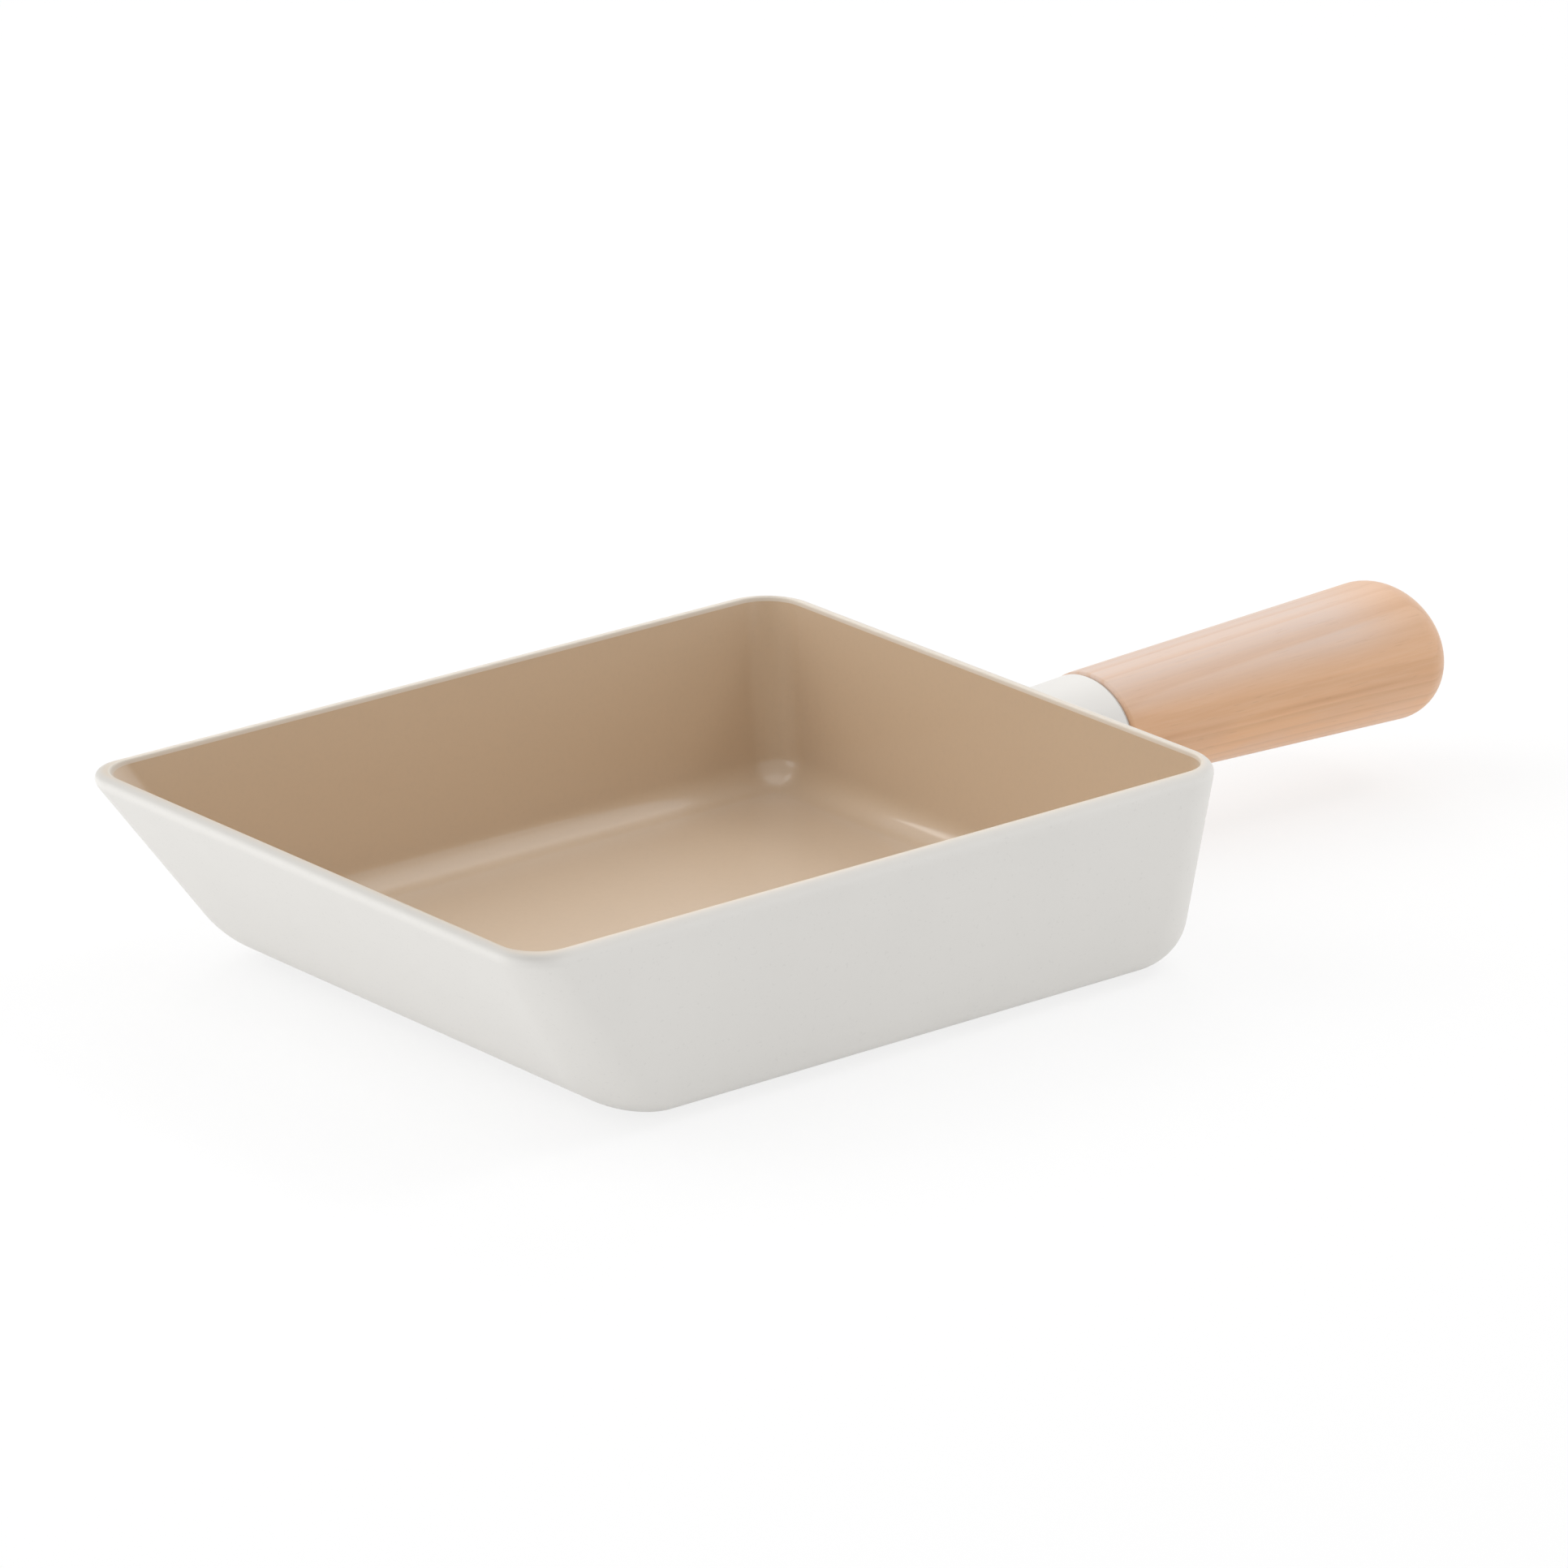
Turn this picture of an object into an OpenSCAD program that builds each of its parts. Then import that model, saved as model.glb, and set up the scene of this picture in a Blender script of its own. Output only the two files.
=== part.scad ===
// Egg pan: a cast pan with a long sloping front wall, a cast neck and a bolted wooden handle.
// The pan stands on z = 0 with the middle of its rim over the origin, and the handle points along +X.

/* [Pan] */
// Outside length of the rim, from the front to the handle side
rim_len = 185.5; // [165:0.5:205]
// Outside width of the rim
rim_w = 150; // [130:0.5:170]
// Height of the rim above the surface that the pan stands on
pan_h = 45.5; // [42:0.5:55]
// Thickness of the walls
wall_t = 3.4; // [3:0.1:4.2]
// Thickness of the cast floor
floor_t = 4.6; // [3.6:0.1:6]
// Lean of the front wall from upright, in degrees
front_lean = 35; // [28:1:38]
// Lean of the wall that carries the handle, in degrees
handle_lean = 3; // [1:0.5:6]
// Lean of the two long walls, in degrees
side_lean = 8.5; // [5:0.5:12]

/* [Roundings of the pan] */
// Radius of the long sweep outside, from the front wall to the base
front_foot_r = 28.5; // [22:0.5:31]
// Radius outside, from the other walls to the base
foot_r = 11; // [8:0.5:13]
// Radius of the long sweep inside, from the front wall to the floor
front_well_r = 24; // [16:0.5:27]
// Radius inside, from the other walls to the floor
well_r = 7; // [4:0.5:9]
// Corner radius of the front at the rim, in plan
front_corner_rim_r = 10; // [8:0.5:12]
// Corner radius of the front at the base, in plan
front_corner_foot_r = 13.5; // [12:0.5:17]
// Corner radius of the handle side at the rim, in plan
back_corner_rim_r = 12.8; // [10:0.2:15]
// Corner radius of the handle side at the base, in plan
back_corner_foot_r = 15; // [12:0.5:18]
// Corner radius inside the rim, in plan
well_corner_r = 8.5; // [8:0.5:11]
// Outer rounding of the rim
rim_outer_r = 2.7; // [1:0.1:3]
// Inner rounding of the rim
rim_inner_r = 0.4; // [0.2:0.1:0.8]
// Least width of the flat between the rim's roundings
rim_flat = 0.2; // [0.1:0.05:0.5]

/* [Coating of the well] */
// Thickness of the ceramic coating
coat_t = 0.3; // [0.2:0.05:0.5]
// How far below the rim the coating ends
coat_drop = 1; // [0.8:0.1:3]

/* [Induction plate] */
// Thickness of the steel plate pressed into the base
plate_t = 1; // [0.6:0.1:1.6]
// Flat cast margin left round the plate
plate_margin = 8; // [4:0.5:14]
// Corner radius of the plate
plate_corner_r = 9; // [4:0.5:14]
// Radius of the holes that the casting fills
plate_hole_r = 2; // [1:0.1:3]
// Distance between holes
plate_pitch = 12.4; // [10:0.2:18]

/* [Neck] */
// Distance from the middle of the rim to the joint between neck and wood
seam_x = 117.2; // [110:0.1:130]
// Height of the handle's axis
handle_z = 27.2; // [24:0.1:30]
// Half width of the neck where it meets the wood
neck_half_w = 14.6; // [13:0.1:16]
// Half height of the neck where it meets the wood
neck_half_h = 12.05; // [11:0.05:13.5]
// How much slimmer the neck is at the pan, all round
neck_waist = 1.3; // [0:0.1:3]
// Radius that blends the neck into the wall
neck_blend_r = 4; // [1:0.5:5]
// Rounding of the neck's end
neck_edge_r = 0.5; // [0.2:0.1:1]

/* [Tenon inside the handle] */
// Length of the tenon
tenon_len = 18; // [14:0.5:24]
// Width of the tenon
tenon_w = 17; // [14:0.5:19]
// Height of the tenon
tenon_h = 13; // [12.5:0.5:15]
// Corner radius of the tenon
tenon_corner_r = 3; // [1:0.5:5]
// Clearance round the tenon in the wood
tenon_fit = 0.2; // [0.1:0.05:0.4]
// Gap between the tenon's end and the wood
tenon_end_gap = 0.8; // [0.3:0.1:2]

/* [Wooden handle] */
// Length of the wood before its end is bored open
handle_len = 93; // [85:0.5:110]
// Half width of the wood at the joint
grip_half_w = 14.9; // [14:0.1:16.5]
// Half height of the wood at the joint
grip_half_h = 12.35; // [11.5:0.05:14]
// Half width that the taper would reach at the far end
grip_end_half_w = 19; // [17:0.1:21]
// Half height that the taper would reach at the far end
grip_end_half_h = 15.45; // [14:0.05:17]
// Length of the domed end
dome_len = 11.3; // [6:0.1:14]
// Rounding of the wood's front edge
grip_edge_r = 0.6; // [0.2:0.1:1.2]
// Softening of the screw well's mouth
mouth_chamfer = 0.8; // [0.3:0.1:1.5]

/* [Joint ring] */
// Thickness of the silicone ring between neck and wood
ring_t = 0.6; // [0.4:0.1:1.5]
// How far the ring stays inside the neck's outline
ring_inset = 0.7; // [0.6:0.1:1.5]

/* [Fasteners] */
// Radius of the handle bolt
bolt_r = 3; // [2.5:0.1:3.2]
// Length of the bolt under its head
bolt_len = 60; // [52:1:66]
// Radius of the bolt's head
head_r = 5; // [4.6:0.1:5.4]
// Height of the bolt's head
head_h = 6; // [4:0.5:7]
// Size across flats of the key socket in the head
key_w = 5; // [4:0.5:6]
// Depth of the key socket
key_depth = 3; // [2:0.5:3.5]
// Clearance round the bolt in the wood
bolt_clearance = 0.3; // [0.2:0.1:0.8]
// Clearance round the bolt in its washers and in the steel insert
bolt_fit = 0.05; // [0.02:0.01:0.1]
// Length of the steel insert in the tenon
insert_len = 12; // [8:0.5:13]
// Wall of the steel insert
insert_wall = 1.4; // [1:0.1:2]
// Clearance round the insert in its hole
insert_fit = 0.03; // [0.01:0.01:0.08]
// How far the bolt reaches past the insert
bolt_overreach = 2; // [0.5:0.5:3]
// Thickness of the flat washer
washer_t = 1.2; // [0.8:0.1:1.6]
// Radius of the flat washer
washer_r = 5.5; // [5.2:0.1:5.7]
// Thickness of the spring washer
spring_t = 1.6; // [1:0.1:2]
// Radial width of the spring washer
spring_w = 1.6; // [1.2:0.1:2]
// Width of the cut in the spring washer
spring_cut = 0.8; // [0.4:0.1:1.2]
// Slant of that cut, in degrees
spring_slant = 20; // [0:5:30]
// Radial room round the washer in the wood's screw well
well_room = 0.3; // [0.2:0.1:0.6]

/* [Hidden] */

// Overrun of every cut past the surface that it leaves
cut_over = 1;
// Steps of an arc in the pan's walls, of the rim's outer and inner rounding, and of a plan corner
arc_steps = 7;
rim_steps = 5;
crest_steps = 2;
corner_steps = 8;
// Steps round an oval, of a softened edge, and of the domed end, which stops short of its pole
oval_steps = 48;
edge_steps = 3;
dome_steps = 14;
dome_turn = 84;
round_fn = 64;
hex_sides = 6;

cast_white = "#e4e3df";
well_beige = "#bfa684";
steel_grey = "#b9bbbe";
zinc_grey = "#9a9ca0";
beech = "#dcb594";
silicone_grey = "#8c8a86";

// A wall is a plane that leans outwards; depth is measured square to it, from its outer face.
// The inset is the horizontal distance in from the sharp edge where that face meets the rim's plane.
function wall_inset(lean, depth, z) = tan(lean) * (pan_h - z) + depth / cos(lean);

// The largest outer rounding that leaves a leaning wall its inner rounding and the flat
function rim_fit_r(lean) =
    min(rim_outer_r, (wall_t - rim_inner_r * (1 - sin(lean)) - rim_flat * cos(lean)) / (1 + sin(lean)));

// How far the rounding pulls the rim in from the sharp edge
function rim_pull(lean) = rim_fit_r(lean) * (tan(lean) + 1 / cos(lean) - 1);

edge_front = -rim_len / 2 - rim_pull(front_lean);
edge_back = rim_len / 2 + rim_pull(handle_lean);
edge_side = rim_w / 2 + rim_pull(side_lean);

// Points [inset, height] of an arc of radius r whose middle has the given inset and height
function arc_points(inset, z, r, from, to, steps) =
    [for (i = [0:steps]) let (a = from + (to - from) * i / steps) [inset + r * cos(a), z + r * sin(a)]];

// From the flat at height z up to the wall, tangent to both
function foot_path(lean, r, depth, z) =
    arc_points(wall_inset(lean, depth, z + r) + r / cos(lean), z + r, r, 270, 180 + lean, arc_steps);

function reversed(list) = [for (i = [len(list) - 1:-1:0]) list[i]];

// The outside of one wall, from the base to the crest of the rim
function outer_path(lean, foot) =
    let (r = rim_fit_r(lean))
    concat(foot_path(lean, foot, 0, 0),
           arc_points(wall_inset(lean, r, pan_h - r), pan_h - r, r, 180 + lean, 90, rim_steps));

// The inner rounding of the rim, from its crest down
function inner_rim_path(lean) =
    arc_points(wall_inset(lean, wall_t - rim_inner_r, pan_h - rim_inner_r), pan_h - rim_inner_r,
               rim_inner_r, 90, lean, crest_steps);

coat_top = pan_h - coat_drop;
well_floor = floor_t + coat_t;

function edge_point(lean, depth) = [wall_inset(lean, depth, coat_top), coat_top];

// The inside of one cast wall, from the edge of the coating down to the floor under the coating
function cast_well_path(lean, r) =
    concat([edge_point(lean, wall_t - coat_t)],
           reversed(foot_path(lean, r + coat_t, wall_t - coat_t, floor_t)));

// The surface of the coating, from its edge down to the floor
function coat_path(lean, r) =
    concat([edge_point(lean, wall_t)], reversed(foot_path(lean, r, wall_t, well_floor)));

function cast_path(lean, foot, well) =
    concat(outer_path(lean, foot), inner_rim_path(lean), cast_well_path(lean, well));

// How far a point lies inside the straight wall of the given depth, which its corner radius loses
function extra_inset(point, lean, depth) = point[0] - wall_inset(lean, depth, point[1]);

function blend(from, to, share) = from + (to - from) * share;

outer_count = arc_steps + rim_steps + 2;

// Plan corner radius outside: it grows from the rim's to the base's
function outer_corner_r(z, at_front) =
    at_front ? blend(front_corner_foot_r, front_corner_rim_r, z / pan_h)
             : blend(back_corner_foot_r, back_corner_rim_r, z / pan_h);

// One level ring of the pan: four rounded corners, each between an end wall and a side wall
function corner_point(q, angle, end, side, end_lean, base_r, depth) =
    let (sx = (q == 0 || q == 3) ? 1 : -1,
         sy = q < 2 ? 1 : -1,
         edge = sx > 0 ? edge_back : edge_front,
         loss = (extra_inset(end, end_lean, depth) + extra_inset(side, side_lean, depth)) / 2,
         r = max(base_r - loss, base_r / corner_steps),
         turn = sin(angle) * sin(angle))
    [edge - sx * (end[0] + r) + r * cos(angle),
     sy * (edge_side - side[0] - r) + r * sin(angle),
     blend(end[1], side[1], turn)];

// Rings of a shell: front, back and side are paths with as many points each
function shell_rings(front, back, side, is_outer, depth) =
    [for (k = [0:len(side) - 1])
        [for (q = [0:3])
            for (j = [0:corner_steps])
                let (at_front = q == 1 || q == 2,
                     end = at_front ? front[k] : back[k],
                     lean = at_front ? front_lean : handle_lean,
                     outside = is_outer && k < outer_count,
                     z = (end[1] + side[k][1]) / 2,
                     base_r = outside ? outer_corner_r(z, at_front) : well_corner_r)
                corner_point(q, 90 * (q + j / corner_steps), end, side[k], lean, base_r,
                             outside ? 0 : depth)]];

// A closed skin over rings of equally many points that run counter-clockwise seen from the last ring
module skin(rings) {
    n = len(rings[0]);
    last = len(rings) - 1;
    sides = [for (k = [0:last - 1])
        for (i = [0:n - 1])
            let (j = (i + 1) % n)
            for (face = [[k * n + i, (k + 1) * n + i, (k + 1) * n + j],
                         [k * n + i, (k + 1) * n + j, k * n + j]])
                face];
    first_cap = [[for (i = [0:n - 1]) i]];
    last_cap = [[for (i = [n - 1:-1:0]) last * n + i]];
    polyhedron([for (ring = rings) each ring], concat(first_cap, sides, last_cap));
}

// An oval ring square to the handle's axis; slant leans it like the wall that carries the handle
function oval_ring(x, half_w, half_h, slant = 0) =
    [for (i = [0:oval_steps - 1])
        let (a = 360 * i / oval_steps, dz = half_h * sin(a))
        [x + slant * tan(handle_lean) * dz, half_w * cos(a), handle_z + dz]];

// A bar along the handle's axis, from x by len
module axis_rod(x, len, r) {
    translate([x, 0, handle_z])
        rotate([0, 90, 0])
            cylinder(h = len, r = r, $fn = round_fn);
}

module round_rect(size_x, size_y, r) {
    square([size_x - 2 * r, size_y], center = true);
    square([size_x, size_y - 2 * r], center = true);
    for (sx = [-1, 1])
        for (sy = [-1, 1])
            translate([sx * (size_x / 2 - r), sy * (size_y / 2 - r)])
                circle(r = r, $fn = round_fn);
}

// The tenon's prism along the handle's axis, grown all round
module tenon_prism(x, len, grow) {
    translate([x, 0, handle_z])
        rotate([90, 0, 90])
            linear_extrude(len)
                round_rect(tenon_w + 2 * grow, tenon_h + 2 * grow, tenon_corner_r + grow);
}

// The flat of the base, inside the roundings at its edge
flat_front = edge_front + wall_inset(front_lean, 0, front_foot_r) + front_foot_r / cos(front_lean);
flat_back = edge_back - wall_inset(handle_lean, 0, foot_r) - foot_r / cos(handle_lean);
flat_side = edge_side - wall_inset(side_lean, 0, foot_r) - foot_r / cos(side_lean);
plate_x = (flat_front + flat_back) / 2;
plate_len = flat_back - flat_front - 2 * plate_margin;
plate_w = 2 * (flat_side - plate_margin);

// An even count of holes keeps the middle of the plate whole
function even_count(span) = 2 * floor((span / plate_pitch - 1) / 2 + 1 / 2);
plate_cols = even_count(plate_len);
plate_rows = even_count(plate_w);

module plate_outline() {
    difference() {
        round_rect(plate_len, plate_w, plate_corner_r);
        for (i = [0:plate_cols - 1])
            for (j = [0:plate_rows - 1])
                translate([(i - (plate_cols - 1) / 2) * plate_pitch, (j - (plate_rows - 1) / 2) * plate_pitch])
                    circle(r = plate_hole_r, $fn = round_fn / 2);
    }
}

// The wall's outer face at the height of the handle's axis, and the neck's own ends
wall_x = edge_back - wall_inset(handle_lean, 0, handle_z);
neck_end = seam_x - ring_t;
neck_root_x = wall_x - wall_t / 2;
foot_top = foot_r * (1 - sin(handle_lean));
neck_root_w = neck_half_w - neck_waist;
neck_root_h = neck_half_h - neck_waist;
blend_r = min(neck_blend_r, handle_z - neck_root_h - foot_top, pan_h - rim_outer_r - handle_z - neck_root_h);

// The slope of the neck, so that its straight part is one taper from the blend to its end
function neck_share(x) = (x - wall_x) / (neck_end - wall_x);
function neck_oval(x, grow, slant) =
    oval_ring(x, blend(neck_root_w, neck_half_w, neck_share(x)) + grow,
              blend(neck_root_h, neck_half_h, neck_share(x)) + grow, slant);

neck_rings = concat(
    [neck_oval(neck_root_x, blend_r, 1)],
    [for (i = [0:arc_steps]) let (a = 90 * (1 - i / arc_steps))
        neck_oval(wall_x + blend_r * (1 - sin(a)), blend_r * (1 - cos(a)), 1 - i / arc_steps)],
    [for (i = [0:edge_steps]) let (a = 90 * i / edge_steps)
        neck_oval(neck_end - neck_edge_r * (1 - sin(a)), -neck_edge_r * (1 - cos(a)), 0)]);

insert_r = bolt_r + bolt_fit + insert_wall;
tenon_end = neck_end + tenon_len;
insert_x = tenon_end - insert_len;
bolt_tip_x = insert_x - bolt_overreach;
washer_stack = washer_t + spring_t;
head_x = bolt_tip_x + bolt_len;
seat_x = head_x - washer_stack;
screw_well_r = washer_r + well_room;
grip_end_x = seam_x + handle_len;

// One piece with the neck and the tenon; the plate's holes leave studs that stand in the plate
module pan_body() {
    color(cast_white)
        difference() {
            union() {
                skin(shell_rings(cast_path(front_lean, front_foot_r, front_well_r),
                                 cast_path(handle_lean, foot_r, well_r),
                                 cast_path(side_lean, foot_r, well_r), true, wall_t - coat_t));
                skin(neck_rings);
                tenon_prism(neck_end - cut_over, tenon_len + cut_over, 0);
            }
            translate([plate_x, 0, -cut_over])
                linear_extrude(plate_t + cut_over)
                    plate_outline();
            axis_rod(insert_x, insert_len + cut_over, insert_r + insert_fit);
            axis_rod(bolt_tip_x - bolt_overreach, insert_len, bolt_r + bolt_clearance);
        }
}

// Lines the well from just under the rim down and across the floor
module interior_coating() {
    under = [for (lean_r = [[front_lean, front_well_r], [handle_lean, well_r], [side_lean, well_r]])
        reversed(cast_well_path(lean_r[0], lean_r[1]))];
    over = [for (lean_r = [[front_lean, front_well_r], [handle_lean, well_r], [side_lean, well_r]])
        coat_path(lean_r[0], lean_r[1])];
    color(well_beige)
        skin(concat(shell_rings(under[0], under[1], under[2], false, wall_t - coat_t),
                    shell_rings(over[0], over[1], over[2], false, wall_t)));
}

// Steel sheet, flush with the base, with the casting's studs through its holes
module induction_plate() {
    color(steel_grey)
        translate([plate_x, 0, 0])
            linear_extrude(plate_t)
                plate_outline();
}

// The wood's taper, as a share of its length, and one of its rings
function grip_ring(x, scale, shrink) =
    let (share = (x - seam_x) / handle_len)
    oval_ring(x, (blend(grip_half_w, grip_end_half_w, share) - shrink) * scale,
              (blend(grip_half_h, grip_end_half_h, share) - shrink) * scale);

dome_x = grip_end_x - dome_len;
grip_rings = concat(
    [for (i = [0:edge_steps]) let (a = 90 * i / edge_steps)
        grip_ring(seam_x + grip_edge_r * (1 - cos(a)), 1, grip_edge_r * (1 - sin(a)))],
    [for (i = [0:dome_steps]) let (a = dome_turn * i / dome_steps)
        grip_ring(dome_x + dome_len * sin(a), cos(a), 0)]);

// Height of the dome's surface above the axis equals the screw well's radius at this place
mouth_x = dome_x + dome_len * sqrt(1 - pow(screw_well_r / grip_end_half_h, 2));

// Solid wood, mortised for the tenon and bored from the far end for the bolt
module wood_handle() {
    color(beech)
        difference() {
            skin(grip_rings);
            tenon_prism(seam_x - cut_over, tenon_len - ring_t + tenon_end_gap + cut_over, tenon_fit);
            axis_rod(tenon_end, seat_x - tenon_end + cut_over, bolt_r + bolt_clearance);
            axis_rod(seat_x, grip_end_x - seat_x + cut_over, screw_well_r);
            translate([mouth_x - mouth_chamfer, 0, handle_z])
                rotate([0, 90, 0])
                    cylinder(h = dome_len, r1 = screw_well_r, r2 = screw_well_r + dome_len, $fn = round_fn);
        }
}

// A thin ring that seals the end grain from the hot neck
module joint_ring() {
    half_w = neck_half_w - ring_inset;
    half_h = neck_half_h - ring_inset;
    color(silicone_grey)
        difference() {
            translate([neck_end, 0, handle_z])
                rotate([90, 0, 90])
                    linear_extrude(ring_t)
                        polygon([for (i = [0:oval_steps - 1])
                            let (a = 360 * i / oval_steps)
                            [half_w * cos(a), half_h * sin(a)]]);
            tenon_prism(neck_end - cut_over, ring_t + 2 * cut_over, tenon_fit);
        }
}

// Steel bush that the casting holds, tapped for the bolt
module threaded_insert() {
    color(zinc_grey)
        difference() {
            axis_rod(insert_x, insert_len, insert_r);
            axis_rod(insert_x - cut_over, insert_len + 2 * cut_over, bolt_r + bolt_fit);
        }
}

// Long cap bolt that draws the wood onto the tenon
module handle_bolt() {
    color(steel_grey)
        difference() {
            union() {
                axis_rod(bolt_tip_x, bolt_len, bolt_r);
                axis_rod(head_x, head_h, head_r);
            }
            translate([head_x + head_h - key_depth, 0, handle_z])
                rotate([0, 90, 0])
                    cylinder(h = key_depth + cut_over, r = key_w / 2 / cos(180 / hex_sides), $fn = hex_sides);
        }
}

// Split washer under the head
module spring_washer() {
    x = seat_x + washer_t;
    color(zinc_grey)
        difference() {
            axis_rod(x, spring_t, bolt_r + bolt_fit + spring_w);
            axis_rod(x - cut_over, spring_t + 2 * cut_over, bolt_r + bolt_fit);
            translate([x + spring_t / 2, 0, handle_z + bolt_r + spring_w / 2])
                rotate([0, 0, spring_slant])
                    cube([2 * (spring_t + cut_over), spring_cut, 2 * spring_w], center = true);
        }
}

// Flat washer on the wood's seat
module flat_washer() {
    color(steel_grey)
        difference() {
            axis_rod(seat_x, washer_t, washer_r);
            axis_rod(seat_x - cut_over, washer_t + 2 * cut_over, bolt_r + bolt_fit);
        }
}

pan_body();
interior_coating();
induction_plate();
wood_handle();
joint_ring();
threaded_insert();
handle_bolt();
spring_washer();
flat_washer();
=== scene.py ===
import math

import bmesh
import bpy
from mathutils import Matrix, Vector


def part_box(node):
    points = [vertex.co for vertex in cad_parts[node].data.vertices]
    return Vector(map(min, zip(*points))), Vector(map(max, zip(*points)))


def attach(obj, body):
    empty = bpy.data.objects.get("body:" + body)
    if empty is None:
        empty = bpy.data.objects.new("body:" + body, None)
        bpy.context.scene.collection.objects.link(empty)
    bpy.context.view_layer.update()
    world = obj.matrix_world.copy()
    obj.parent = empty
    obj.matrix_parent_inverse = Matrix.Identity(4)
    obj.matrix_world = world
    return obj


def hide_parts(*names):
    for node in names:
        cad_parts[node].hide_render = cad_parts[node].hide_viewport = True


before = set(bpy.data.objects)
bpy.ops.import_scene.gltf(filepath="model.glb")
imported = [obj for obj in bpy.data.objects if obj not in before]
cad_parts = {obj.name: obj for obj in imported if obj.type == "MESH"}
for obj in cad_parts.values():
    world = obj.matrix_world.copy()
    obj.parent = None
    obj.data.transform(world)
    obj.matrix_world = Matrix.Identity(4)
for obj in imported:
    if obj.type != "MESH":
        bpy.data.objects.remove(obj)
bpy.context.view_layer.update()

# Looks of the egg pan: a cast pan with a sloping front, its lined well, and a bolted wooden handle.
# Every length is in metres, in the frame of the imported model.

MM = 0.001
UP, OUT = Vector((0, 0, 1)), Vector((1, 0, 0))
QUARTER = math.pi / 2

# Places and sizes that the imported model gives
BODY_LOW, BODY_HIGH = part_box("pan_body")
LINING_LOW, LINING_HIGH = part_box("interior_coating")
PLATE_LOW, PLATE_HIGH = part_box("induction_plate")
WOOD_LOW, WOOD_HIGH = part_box("wood_handle")
RING_LOW, RING_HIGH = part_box("joint_ring")
INSERT_LOW, INSERT_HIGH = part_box("threaded_insert")
BOLT_LOW, BOLT_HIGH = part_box("handle_bolt")
WASHER_LOW, WASHER_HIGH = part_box("flat_washer")

RIM_Z = BODY_HIGH.z
RIM_X = -BODY_LOW.x
RIM_Y = BODY_HIGH.y
LINING_TOP = LINING_HIGH.z
CAST_FLOOR = LINING_LOW.z
AXIS_Z = (WOOD_LOW.z + WOOD_HIGH.z) / 2
SEAM_X = WOOD_LOW.x
NECK_END = RING_LOW.x
TENON_END = BODY_HIGH.x
SEAT_X = WASHER_LOW.x
HEAD_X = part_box("spring_washer")[1].x

# The cast walls
WALL = 3.4 * MM
LINING = 0.3 * MM
RIM_R = 2.7 * MM
LIP_R = 0.4 * MM
LIP_FLAT = 0.2 * MM

# Radii of the pan's upright corners, at the foot and at the rim
FRONT_CORNER = (13.5 * MM, 10 * MM)
BACK_CORNER = (15 * MM, 12.8 * MM)
WELL_CORNER = (8.5 * MM, 8.5 * MM)
LEAST_CORNER_SHARE = 1 / 8

# The neck and what it holds; a half is half the width and half the height
NECK_HALF = (14.6 * MM, 12.05 * MM)
NECK_WAIST = 1.3 * MM
NECK_BLEND = 4 * MM
NECK_EDGE = 0.3 * MM
RING_BULGE = 0.4 * MM
TENON_SIZE = (17 * MM, 13 * MM)
TENON_CORNER = 3 * MM
TENON_FIT = 0.2 * MM
TENON_GAP = 0.8 * MM

# The wood
GRIP_HALF = (14.9 * MM, 12.35 * MM)
GRIP_END_HALF = (19 * MM, 15.45 * MM)
GRIP_LEN = 93 * MM
DOME = 11.3 * MM
DOME_X = SEAM_X + GRIP_LEN - DOME
GRIP_EDGE = 0.9 * MM
WELL_ROOM = 0.3 * MM
MOUTH_SOFT = 1.2 * MM

# The bolt and its hole
BOLT_R = 3 * MM
BOLT_ROOM = 0.3 * MM
BOLT_HOLE_R = BOLT_R + BOLT_ROOM
BOLT_TIP_ROOM = 2 * MM
BOLT_POINT = 0.8 * MM
HEAD_SOFT = 0.5 * MM
KEY_HALF = 2.5 * MM
KEY_DEEP = 3 * MM
THREAD_PITCH = 1 * MM
THREAD_RIDGE = 0.55 * MM
THREAD_TURNS = 14

# Half the ridge's width at its root and at its crest, as shares of the pitch
THREAD_ROOT_SHARE = 0.42
THREAD_CREST_SHARE = 0.07

# The plate under the pan
STUD_R = 2 * MM
STUD_PITCH = 12.4 * MM
STUD_COUNT = 8
PLATE_CORNER = 9 * MM

# The edges of the washers
WASHER_SOFT = 0.15 * MM

# How finely the curves are cut
CORNER_STEPS = 16
ROUND_STEPS = 4 * (CORNER_STEPS + 1)
FOOT_STEPS = 24
NECK_STEPS = 12
RIM_STEPS = 16
LIP_STEPS = 5
STUD_STEPS = 24
BOLT_STEPS = 48
THREAD_STEPS = 24
KEY_SIDES = 6
SOFT_STEPS = 2

# Edges that turn further than this are sharp
SHARP = math.radians(40)
SHARP_ON_BOLT = math.radians(30)
SHARP_ON_WASHERS = math.radians(50)

# Vertices closer than this are merged
SAME_PLACE = 0.001 * MM
SAME_PLACE_IN_CAD = 0.002 * MM


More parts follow.
